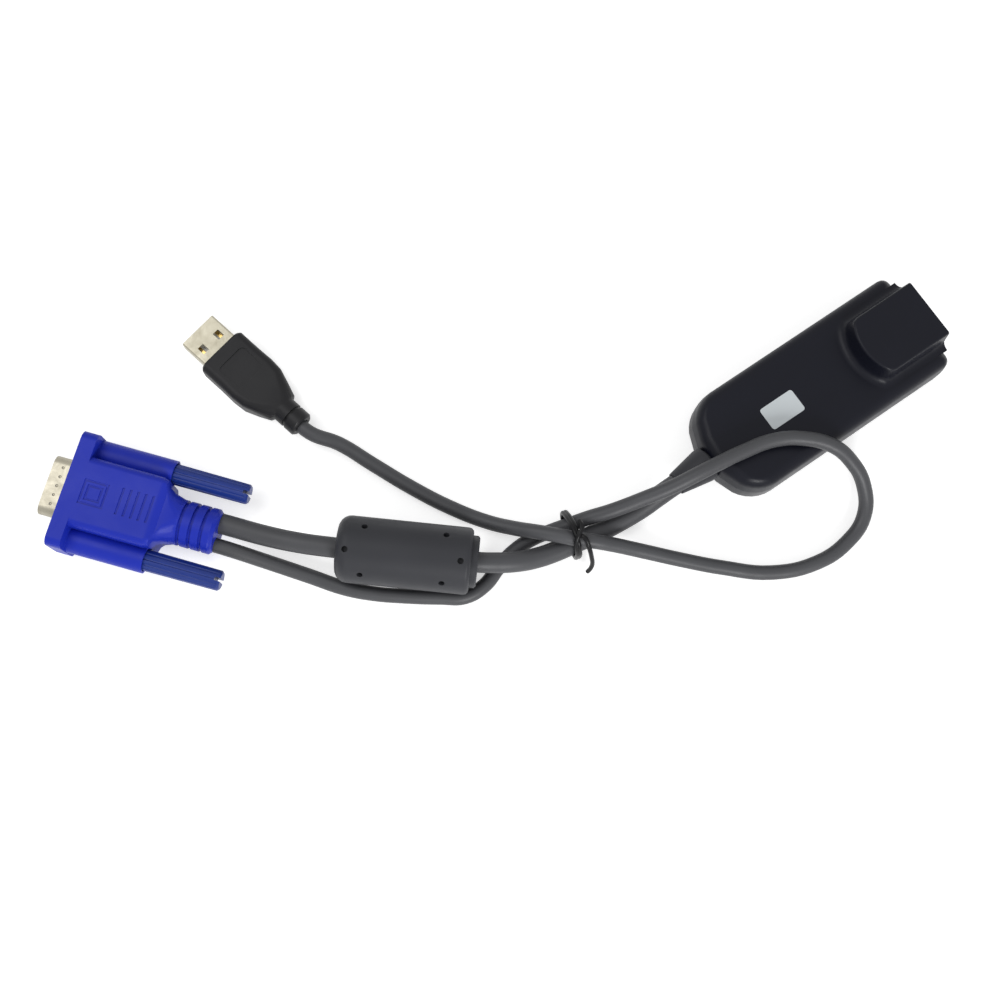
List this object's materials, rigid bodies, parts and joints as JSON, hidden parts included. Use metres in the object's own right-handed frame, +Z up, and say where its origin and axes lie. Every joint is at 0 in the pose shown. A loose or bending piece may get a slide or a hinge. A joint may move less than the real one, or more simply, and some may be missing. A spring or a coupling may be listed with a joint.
{
  "type": "kvm adapter cable",
  "caption": "Server-side keyboard, video and mouse adapter: a flat module with a network jack, a short cable with a ferrite and a screw-in video plug, and a USB plug lead held by a twist tie.",
  "frame": {"origin": "middle of the module's base, on the surface that the adapter lies on", "axes": "+X along the module towards its network jack, +Y across the module, +Z up"},
  "size_m": [0.2398, 0.1575, 0.02],
  "materials": {
    "module_plastic": "fine satin moulding, near black with a blue tint",
    "label_stock": "smooth light grey label",
    "board_laminate": "green solder mask",
    "chip_plastic": "matt black moulding",
    "capacitor_can": "satin",
    "cream_plastic": "plain moulded",
    "lead_insulation": "smooth insulation",
    "jack_plastic": "moulded black",
    "bright_metal": "nickel plate",
    "contact_metal": "gold plate",
    "screw_steel": "zinc plate",
    "grey_moulding": "soft dark grey overmoulding",
    "cable_jacket": "satin dark grey jacket",
    "ferrite": "dull sintered",
    "blue_moulding": "satin bright blue moulding",
    "blue_knob": "hard blue moulding",
    "white_plastic": "white moulding",
    "black_moulding": "satin black overmoulding",
    "tie_plastic": "plastic-coated wire"
  },
  "bodies": {
    "module": {"case_top": "module_plastic", "case_bottom": "module_plastic", "case_screws": "screw_steel", "case_label": "label_stock", "circuit_board": "board_laminate", "board_chips": "chip_plastic", "board_capacitors": "capacitor_can", "lead_connector": "cream_plastic", "cable_leads": "lead_insulation", "jack_housing": "jack_plastic", "jack_shield": "bright_metal", "jack_contacts": "contact_metal", "cable_gland": "grey_moulding", "video_cable": "cable_jacket", "ferrite_moulding": "grey_moulding", "ferrite_core": "ferrite", "vga_hood": "blue_moulding", "vga_shell": "bright_metal", "vga_insulator": "jack_plastic", "vga_pins": "contact_metal", "vga_inner_mould": "cream_plastic", "usb_cable": "cable_jacket", "usb_shell": "bright_metal", "usb_tongue": "white_plastic", "usb_contacts": "contact_metal", "usb_overmould": "black_moulding", "usb_inner_mould": "cream_plastic", "twist_tie": "tie_plastic"},
    "upper_plug_screw": {"upper_screw": "screw_steel"},
    "upper_plug_knob": {"upper_knob": "blue_knob"},
    "lower_plug_screw": {"lower_screw": "screw_steel"},
    "lower_plug_knob": {"lower_knob": "blue_knob"}
  },
  "joints": [
    {"name": "upper_screw_push", "type": "slide", "parent": "module", "child": "upper_plug_screw", "axis": [-0.6468, 0.7627, 0], "range_m": [0, 0.0055]},
    {"name": "upper_knob_turn", "type": "hinge", "parent": "upper_plug_screw", "child": "upper_plug_knob", "pos_m": [-0.15986, 0.0762, 0.0078], "axis": [-0.6468, 0.7627, 0], "continuous": true},
    {"name": "lower_screw_push", "type": "slide", "parent": "module", "child": "lower_plug_screw", "axis": [-0.6468, 0.7627, 0], "range_m": [0, 0.0055]},
    {"name": "lower_knob_turn", "type": "hinge", "parent": "lower_plug_screw", "child": "lower_plug_knob", "pos_m": [-0.17893, 0.06003, 0.0078], "axis": [-0.6468, 0.7627, 0], "continuous": true}
  ]
}
